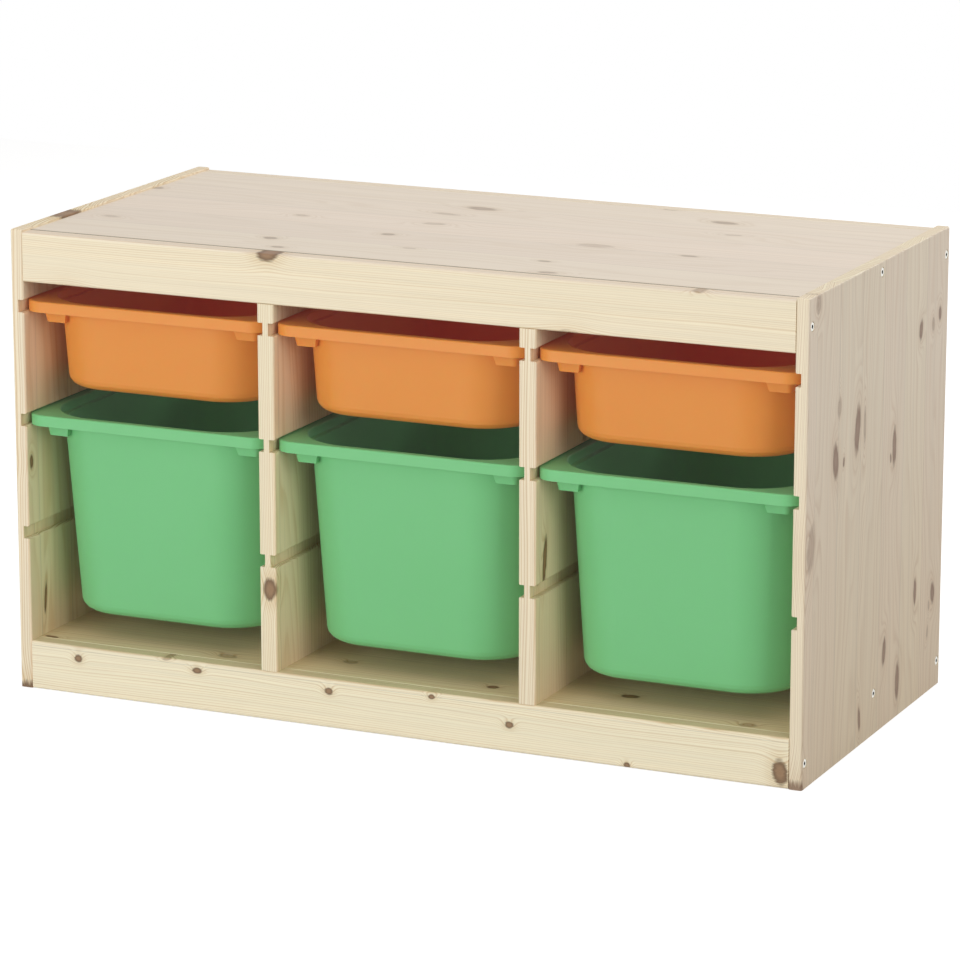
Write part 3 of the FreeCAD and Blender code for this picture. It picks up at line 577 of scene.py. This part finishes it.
PANEL_STAVES = (0.0808, RAIL_BACK)
SIDE_STAVES = (0.069, -0.196)
DIVIDER_STAVES = (0.074, -0.21)
WHOLE = (0.2, -0.65)  # a rail is one stave, with no seam in it
print("a panel is glued up from staves", round(1000 * PANEL_STAVES[0], 1), "mm wide")

# %% The two panels
board("top_panel", 1, ALONG_X, TOP_TONES_UNDER_SHEEN, PANEL_STAVES, figure=0.6, tint=PAINTED_SHEEN,
      # the dark joint line is a painted shadow in the gap between panel and rail
      joint=(srgb(150, 136, 114), 0.0028),
      knots=[(-188, -137, 10, 7), (-158, -180, 9, 5), (-81, -65, 9, 6), (-52, 118, 21, 10),
             (135, -135, 9, 4), (162, -190, 13, 5), (228, 149, 18, 8), (264, -46, 11, 4),
             (-446, 85, 8, 6)],
      faint=[(-218, -2, 10, 6), (-26, -128, 10, 4), (-61, 13, 16, 7), (-75, 72, 20, 6),
             (150, -32, 24, 10), (263, 85, 12, 4), (-409, -94, 12, 6), (143, 200, 10, 6),
             (346, 210, 12, 6), (-375, 215, 10, 6)])
# The bottom panel's top gets painted shade from its tint.
board("bottom_panel", 2, ALONG_X, CREAMY, PANEL_STAVES, figure=1.2, tint=SHADE_UNDER_BINS,
      # the pale joint line is a painted highlight on the panel's front arris
      joint=(srgb(238, 225, 192), 0.0012),
      knots=[(-437, -197, 9, 3), (94, -175, 7, 5), (242, -146, 10, 6)],
      faint=[(-222, -186, 12, 7), (-88, -151, 9, 6), (394, -193, 10, 6)])
print("panels finished")

# %% The four rails
board("top_front_rail", 3, RAIL, CREAMY, WHOLE, tint=PAINTED_SHEEN, ring=0.002, figure=1,
      knots=[(-150, 518, 13, 9)],
      faint=[(196, 453, 18, 12), (-396, 451, 16, 12), (340, 519, 9, 2.5)])
# The bottom front rail gets painted light in its paler tones and painted shade on its top.
board("bottom_front_rail", 4, RAIL, PALE_PAINTED_LIGHT, WHOLE, tint=SHADED, ring=0.0024, figure=1.1,
      knots=[(-391, 41, 5, 4.5), (-242, 45, 6, 3.5), (-81, 41, 5, 4), (42, 50, 4, 3),
             (133, 30, 5, 4), (269, 3, 4, 3), (441, 17, 9, 14)],
      faint=[(-280, 54, 5, 2)])
board("top_rear_rail", 5, RAIL, CREAMY, WHOLE, tint=PAINTED_SHEEN,
      knots=[(-310, 490, 8, 6), (205, 475, 10, 7)], faint=[(40, 500, 12, 7)])
board("bottom_rear_rail", 6, RAIL, CREAMY, WHOLE, knots=[(-120, 30, 9, 6), (330, 44, 7, 5)],
      faint=[(95, 20, 12, 7), (-360, 12, 9, 6)])
print("rails finished")

# %% The side panels and the dividers
board("side_panel_left", 7, UPRIGHT, CREAMY, SIDE_STAVES, tint=PAINTED_INNER_LIGHT, figure=1, ring=0.003,
      knots=[(97, -187, 20, 3), (258, -211, 9, 4), (410, 60, 20, 8), (140, 122, 22, 8),
             (520, -112, 8, 26), (-8, -222, 18, 9)],
      faint=[(220, -20, 26, 9), (330, -60, 14, 5), (60, 30, 20, 7)])
board("side_panel_right", 8, UPRIGHT, SIDE_TONES_UNDER_SHEEN, SIDE_STAVES, tint=PAINTED_OUTER_LIGHT, figure=0.85, ring=0.0019,
      knots=[(353, -69, 30, 9), (309, 50, 24, 7), (333, -135, 22, 9), (421, 130, 13, 6),
             (428, 193, 9, 5), (298, 39, 6, 2.5), (327, -110, 6, 3), (128, 129, 17, 5),
             (112, 190, 14, 7), (85, 30, 17, 6), (40, 76, 23, 7), (30, -46, 15, 4),
             (-8, -222, 19, 9)],
      faint=[(255, -205, 28, 12), (510, -194, 12, 8), (420, 171, 9, 5), (388, -126, 12, 6),
             (353, -46, 22, 4), (100, 178, 6, 3), (70, 175, 8, 3)])
board("divider_left", 9, UPRIGHT, CREAMY, DIVIDER_STAVES, figure=0.9, tint=PAINTED_INNER_LIGHT,
      knots=[(148, -219, 13, 6, -151, 8), (300, 80, 14, 7)],
      faint=[(410, -60, 18, 8), (220, 150, 16, 7)])
board("divider_right", 10, UPRIGHT, CREAMY, DIVIDER_STAVES, figure=0.9, tint=PAINTED_INNER_LIGHT,
      knots=[(209, -196, 26, 5), (390, 120, 14, 7)], faint=[(110, -40, 18, 8), (330, -90, 16, 7)])
print("boards finished:", sum(made.name.startswith("pine_") for made in bpy.data.materials))

# %% [markdown]
# ## Bins
#
# The bins are injection moulded in one dyed plastic. The mould leaves a satin surface with a very fine
# grain and hardly any change of tone. A smooth, even plastic looks false, so a fine bump and a slight
# drift in roughness break up the highlights. The walls are only two or three millimetres thick, so
# some light goes into them and comes out beside where it went in, and a very little shows right
# through. A small, even glow stands in for that faint light: it is painted light, which lifts the
# shaded insides most, and stays clean there, where light that really crossed the wall would come out
# as patches.

# %% Moulded plastic
def moulded_plastic(name, colour, deep, inside, bleed, through):
    """Dyed plastic with a fine mould grain.

    Inside is the share of light that goes into it, bleed how far each colour of that light goes, and
    through the colour of a glow of painted light, standing in for the faint light that shows through
    its thin walls.
    """
    material = new_material(name)
    tree = material.node_tree
    texture = add(tree, "ShaderNodeTexCoord").outputs["Object"]
    drift = add(tree, "ShaderNodeTexNoise", {"Vector": texture, "Scale": 9, "Detail": 3}).outputs[0]
    grain = add(tree, "ShaderNodeTexNoise", {"Vector": texture, "Scale": 1400, "Detail": 2}).outputs[0]
    deepened = maths(tree, "MULTIPLY", drift, 0.5)
    dyed = add(tree, "ShaderNodeMix", {0: deepened, 6: colour, 7: deep}, data_type="RGBA")
    rough = add(tree, "ShaderNodeMapRange", {0: drift, 1: 0.3, 2: 0.7, 3: 0.38, 4: 0.48})
    bump = add(tree, "ShaderNodeBump", {"Height": grain, "Strength": 0.2, "Distance": 0.0001})
    surface = add(tree, "ShaderNodeBsdfPrincipled", {
        "Base Color": dyed.outputs[2],
        "Roughness": rough.outputs[0],
        "Normal": bump.outputs[0],
        "Specular IOR Level": SHEEN,
        "Subsurface Weight": inside,
        "Subsurface Radius": bleed,
        "Subsurface Scale": 0.004,
        # the glow is painted light that lifts the plastic's shaded parts
        "Emission Color": through,
        "Emission Strength": 1,
    })
    add(tree, "ShaderNodeOutputMaterial", {"Surface": surface.outputs[0]})
    return material


orange = moulded_plastic("orange_plastic", srgb(227, 150, 60), srgb(222, 138, 50), 0.4,
                         (1, 0.3, 0.15), (0.038, 0.01, 0.012, 1))
green = moulded_plastic("green_plastic", srgb(120, 201, 134), srgb(110, 192, 122), 0.25,
                        (0.6, 0.9, 0.6), (0.013, 0.01, 0.013, 1))
bins = [name for name in nodes if "bin" in name]
for name in bins:
    dress(name, orange if name.startswith("small") else green)
print("bins finished:", len(bins))

# %% [markdown]
# ## Dowels
#
# Short beech dowels keep the boards from turning on their screws. They are closed in by the boards
# and never seen, but each piece still gets its own wood: beech is pinker than pine, with small
# dark flecks instead of broad rings.

# %% Wooden dowels, hidden in the joints
beech = new_material("beech_dowel")
tree = beech.node_tree
texture = add(tree, "ShaderNodeTexCoord").outputs["Object"]
flecks = add(tree, "ShaderNodeTexNoise", {"Vector": texture, "Scale": 300, "Detail": 4})
tint = add(tree, "ShaderNodeMix",
           {0: flecks.outputs[0], 6: srgb(226, 196, 156), 7: srgb(200, 160, 118)}, data_type="RGBA")
surface = add(tree, "ShaderNodeBsdfPrincipled", {"Base Color": tint.outputs[2], "Roughness": 0.6})
add(tree, "ShaderNodeOutputMaterial", {"Surface": surface.outputs[0]})
dowels = [name for name in nodes if "dowels" in name]
for name in dowels:
    dress(name, beech)
print("groups of dowels:", len(dowels))

# %% [markdown]
# ## Screws
#
# Eighteen screws are alike, so one is built from sizes and copied onto points with Geometry Nodes.
# The head is a cylinder with its rim turned down, the socket a six-sided hole, and each screw is
# turned by a random angle, because nobody stops a screw at the same place twice. Realize Instances
# makes real meshes of the copies at the end.

# %% Geometry Nodes tree for a row of screws
screws = bpy.data.node_groups.new("screws", "GeometryNodeTree")
screws.interface.new_socket(name="Geometry", in_out="INPUT", socket_type="NodeSocketGeometry")
screws.interface.new_socket(name="Geometry", in_out="OUTPUT", socket_type="NodeSocketGeometry")
SCREW_SIZES = {
    "Head Diameter": 0.0105,
    "Head Height": 0.004,
    "Shank Diameter": 0.0064,
    "Length": 0.05,
    "Socket Width": 0.004,
    "Socket Depth": 0.0026,
    "Edge": 0.0007,
}
for size_name, size in SCREW_SIZES.items():
    socket(screws, size_name, "NodeSocketFloat", size)
socket(screws, "Seed", "NodeSocketInt", 0)
socket(screws, "Finish", "NodeSocketMaterial")
sizes = add(screws, "NodeGroupInput").outputs
print("screw tree has", len(SCREW_SIZES), "sizes")


# %% Cylinders, and bodies cut from one another
def cylinder(tree, sides, radius, length, top):
    """A closed cylinder on Z whose upper end is at height top."""
    form = {"Vertices": sides, "Radius": radius, "Depth": length}
    body = add(tree, "GeometryNodeMeshCylinder", form).outputs[0]
    middle = maths(tree, "SUBTRACT", top, maths(tree, "DIVIDE", length, 2))
    place = add(tree, "ShaderNodeCombineXYZ", {2: middle}).outputs[0]
    return add(tree, "GeometryNodeTransform", {"Geometry": body, "Translation": place}).outputs[0]


def cut(tree, operation, *bodies):
    """One body made of several by union, difference or intersection."""
    node = add(tree, "GeometryNodeMeshBoolean", operation=operation, solver="EXACT")
    if operation == "DIFFERENCE":
        first, *bodies = bodies
        tree.links.new(first, node.inputs["Mesh 1"])
    for body in bodies:
        tree.links.new(body, node.inputs["Mesh 2"])
    return node.outputs["Mesh"]


print("a socket is", 1000 * SCREW_SIZES["Socket Width"], "mm across its flats")

# %% [markdown]
# The screw stands on Z with the outer face of its head at zero. The head's rim is turned down by
# cutting the cylinder with a wide, flat cone: whatever lies outside both is gone. The hexagon that
# cuts the socket is twice as long as the socket is deep, so that it sticks out at the top.

# %% One screw along Z, with the outer face of its head at zero
HEAD_SIDES, SHANK_SIDES, SOCKET_SIDES = 48, 32, 6

head_radius = maths(screws, "DIVIDE", sizes["Head Diameter"], 2)
head = cylinder(screws, HEAD_SIDES, head_radius, sizes["Head Height"], 0.0)
below_edge = maths(screws, "SUBTRACT", sizes["Head Height"], sizes["Edge"])
cone = add(screws, "GeometryNodeMeshCone", {
    "Vertices": HEAD_SIDES,
    "Radius Top": maths(screws, "SUBTRACT", head_radius, sizes["Edge"]),
    "Radius Bottom": maths(screws, "ADD", head_radius, below_edge),
    "Depth": sizes["Head Height"],
})
drop = maths(screws, "SUBTRACT", 0, sizes["Head Height"])
lowered = add(screws, "GeometryNodeTransform", {
    "Geometry": cone.outputs["Mesh"],
    "Translation": add(screws, "ShaderNodeCombineXYZ", {2: drop}).outputs[0],
})
turned_head = cut(screws, "INTERSECT", head, lowered.outputs[0])
shank_radius = maths(screws, "DIVIDE", sizes["Shank Diameter"], 2)
shank_top = maths(screws, "MULTIPLY", sizes["Head Height"], -0.5)
shank = cylinder(screws, SHANK_SIDES, shank_radius, sizes["Length"], shank_top)
socket_radius = maths(screws, "DIVIDE", sizes["Socket Width"], math.sqrt(3))
cutter_length = maths(screws, "MULTIPLY", sizes["Socket Depth"], 2)
hexagon = cylinder(screws, SOCKET_SIDES, socket_radius, cutter_length, sizes["Socket Depth"])
cutter = add(screws, "GeometryNodeStoreNamedAttribute",
             {"Geometry": hexagon, "Name": "hollow", "Value": 1.0}, data_type="FLOAT", domain="FACE")
screw = cut(screws, "DIFFERENCE", cut(screws, "UNION", turned_head, shank), cutter.outputs[0])
print("one screw takes", len(screws.nodes), "nodes")

# %% Copies on the points, each turned at random about its own axis
outward = add(screws, "GeometryNodeInputNamedAttribute", {"Name": "outwards"},
              data_type="FLOAT_VECTOR").outputs[0]
upright = add(screws, "FunctionNodeAlignRotationToVector", {"Vector": outward}, axis="Z").outputs[0]
turn = add(screws, "FunctionNodeRandomValue",
           {"Min": 0.0, "Max": math.pi / 3, "Seed": sizes["Seed"]}).outputs["Value"]
spin = add(screws, "FunctionNodeAxisAngleToRotation", {"Axis": (0, 0, 1), "Angle": turn}).outputs[0]
rotation = add(screws, "FunctionNodeRotateRotation", {"Rotation": upright, "Rotate By": spin},
               rotation_space="LOCAL").outputs[0]
copies = add(screws, "GeometryNodeInstanceOnPoints",
             {"Points": sizes["Geometry"], "Instance": screw, "Rotation": rotation}).outputs[0]
real = add(screws, "GeometryNodeRealizeInstances", {"Geometry": copies}).outputs[0]
finished = add(screws, "GeometryNodeSetMaterial",
               {"Geometry": real, "Material": sizes["Finish"]}).outputs[0]
outlet = add(screws, "NodeGroupOutput")
screws.links.new(finished, outlet.inputs[0])
print("the whole tree takes", len(screws.nodes), "nodes")

# %% [markdown]
# Zinc plate is a soft grey metal. It isn't polished: a fine blotchy roughness spreads its highlights,
# and the turned-down rim of the head catches the light as a pale ring. The sockets look nearly black
# in the photograph. Shadow alone doesn't make them so dark here, so their faces get painted shade, a
# near-black colour: the tree marked them as "hollow" before it cut them out, and the material reads
# that mark.

# %% Zinc plate
zinc = new_material("zinc_plate")
tree = zinc.node_tree
texture = add(tree, "ShaderNodeTexCoord").outputs["Object"]
blotches = add(tree, "ShaderNodeTexNoise", {"Vector": texture, "Scale": 900, "Detail": 3}).outputs[0]
plate = add(tree, "ShaderNodeMix", {0: blotches, 6: srgb(236, 236, 230), 7: srgb(214, 214, 206)},
            data_type="RGBA").outputs[2]
satin = add(tree, "ShaderNodeMapRange", {0: blotches, 1: 0.3, 2: 0.7, 3: 0.38, 4: 0.5}).outputs[0]
hollow = add(tree, "ShaderNodeAttribute", attribute_name="hollow").outputs["Fac"]
# painted shade: the sockets' faces are near black
painted_socket_shade = add(tree, "ShaderNodeMix", {0: hollow, 6: plate, 7: srgb(46, 42, 38)},
            data_type="RGBA").outputs[2]
metal = add(tree, "ShaderNodeMapRange", {0: hollow, 1: 0, 2: 1, 3: 0.85, 4: 0.2}).outputs[0]
surface = add(tree, "ShaderNodeBsdfPrincipled",
              {"Base Color": painted_socket_shade, "Metallic": metal, "Roughness": satin})
add(tree, "ShaderNodeOutputMaterial", {"Surface": surface.outputs[0]})
print("zinc plate ready")

# %% [markdown]
# The screws sit where the solids have their holes: six in each side panel, and three under each
# divider. Every point carries the direction that its screw's head looks in, as an attribute.

# %% Points for the screws
HEAD_X = 0.4646  # the head's outer face is 0.4 mm under the board's
HEAD_Z = 0.0374  # the same under the bottom panel
DIVIDER_X = 0.15333
DIVIDER_SPOTS = (-0.14, 0, 0.14)
SIDE_SPOTS = [(y, z) for y in (-0.211, 0.211) for z in (0.0275, 0.49)] + [(0, 0.046), (0, 0.5085)]

points, directions = [], []
for side in (-1, 1):
    points += [(side * HEAD_X, y, z) for y, z in SIDE_SPOTS]
    directions += [(side, 0, 0)] * len(SIDE_SPOTS)
    points += [(side * DIVIDER_X, y, HEAD_Z) for y in DIVIDER_SPOTS]
    directions += [(0, 0, -1)] * len(DIVIDER_SPOTS)

spots = bpy.data.meshes.new("screw_spots")
spots.from_pydata(points, [], [])
outwards = spots.attributes.new("outwards", "FLOAT_VECTOR", "POINT")
for entry, direction in zip(outwards.data, directions):
    entry.vector = direction
print("points for screws:", len(points))

# %% [markdown]
# The tree goes on the points as a modifier. Its inputs are set by identifier before the object is
# first evaluated. The result is then copied to a plain mesh, so that nothing of the points or the
# modifier is left. The piece is hung on the frame's body, and the screws of the measured solids are
# hidden.

# %% The finished piece
SEED = 3

spotted = bpy.data.objects.new("screw_spots", spots)
scene.collection.objects.link(spotted)
modifier = spotted.modifiers.new("screws", "NODES")
modifier.node_group = screws
inputs = {**SCREW_SIZES, "Seed": SEED, "Finish": zinc}
for item in screws.interface.items_tree:
    if item.name in inputs:
        modifier[item.identifier] = inputs[item.name]
evaluated = spotted.evaluated_get(bpy.context.evaluated_depsgraph_get())
screw_mesh = bpy.data.meshes.new_from_object(evaluated)
frame_screws = bpy.data.objects.new("frame_screws", screw_mesh)
scene.collection.objects.link(frame_screws)
spotted.modifiers.clear()
bpy.data.objects.remove(spotted)
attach(frame_screws, "frame")
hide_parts("side_screws_left", "side_screws_right", "divider_screws")
marked = sum(round(face.value) for face in screw_mesh.attributes["hollow"].data)
print("screws:", len(points), "with", len(screw_mesh.polygons), "faces,", marked, "in the sockets")
